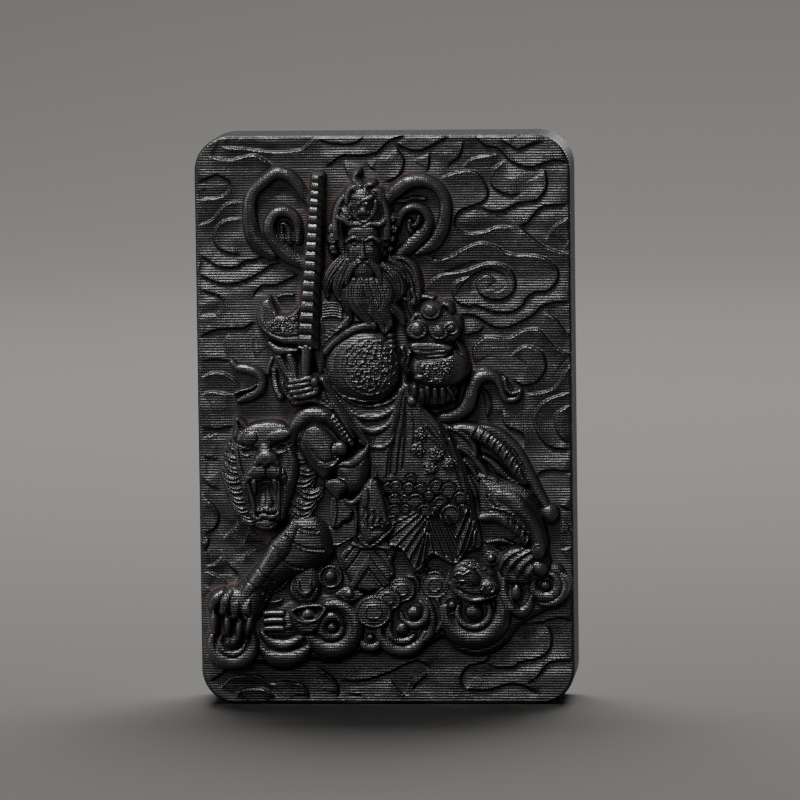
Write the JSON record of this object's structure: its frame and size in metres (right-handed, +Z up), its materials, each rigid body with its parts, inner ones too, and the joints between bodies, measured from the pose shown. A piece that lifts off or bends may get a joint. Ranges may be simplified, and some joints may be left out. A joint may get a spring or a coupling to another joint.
{
  "type": "carved tablet",
  "caption": "Upright carved ebony tablet with rounded corners and a deep relief of an armoured rider on a tiger over scroll clouds, in the size and form of a decorated ink stick.",
  "frame": {"origin": "middle of the blank's lower face, halfway through its thickness", "axes": "+Z up along the tablet's height, the carved front faces -Y, +X to the right of someone who looks at the front"},
  "size_m": [0.04, 0.011, 0.061],
  "materials": {
    "ebony_blank": "machine-cut ebony, waxed to a low sheen",
    "ebony_relief": "ebony carved in fine level passes, waxed and rubbed bright on the high places"
  },
  "bodies": {
    "root": {"beard": "ebony_relief", "beast_head": "ebony_relief", "belt_swags": "ebony_relief", "boot": "ebony_relief", "breastplate": "ebony_relief", "cloud_bank": "ebony_relief", "cloud_scroll_centre": "ebony_relief", "cloud_scroll_end": "ebony_relief", "cloud_scroll_hind": "ebony_relief", "cloud_scroll_left": "ebony_relief", "cloud_scroll_middle": "ebony_relief", "cloud_scroll_paw": "ebony_relief", "cloud_scroll_right": "ebony_relief", "cloud_scroll_small": "ebony_relief", "coin_lower": "ebony_relief", "coin_middle": "ebony_relief", "coin_right": "ebony_relief", "coin_upper": "ebony_relief", "collar_band": "ebony_relief", "helmet_crown": "ebony_relief", "helmet_guards": "ebony_relief", "hem_flap_front": "ebony_relief", "hem_flap_left": "ebony_relief", "ingot_boats": "ebony_relief", "ingot_heads": "ebony_relief", "knee_guard": "ebony_relief", "left_sleeve": "ebony_relief", "mace_hand": "ebony_relief", "pot_hand": "ebony_relief", "pot_ingots": "ebony_relief", "ribbed_mace": "ebony_relief", "ribbon_left": "ebony_relief", "ribbon_right": "ebony_relief", "rider_head": "ebony_relief", "right_sleeve": "ebony_relief", "robe_apron": "ebony_relief", "saddle_cloth": "ebony_relief", "scarf_left": "ebony_relief", "scarf_left_loop": "ebony_relief", "scarf_right": "ebony_relief", "scarf_right_loop": "ebony_relief", "shoulder_guard": "ebony_relief", "sky_clouds": "ebony_relief", "tablet_blank": "ebony_blank", "thigh_cloth": "ebony_relief", "tiger_fore_paw": "ebony_relief", "tiger_foreleg": "ebony_relief", "tiger_haunch": "ebony_relief", "tiger_head": "ebony_relief", "tiger_hind_paw": "ebony_relief", "tiger_mane": "ebony_relief", "tiger_tail": "ebony_relief", "treasure_pot": "ebony_relief", "trouser_leg": "ebony_relief"}
  },
  "joints": []
}
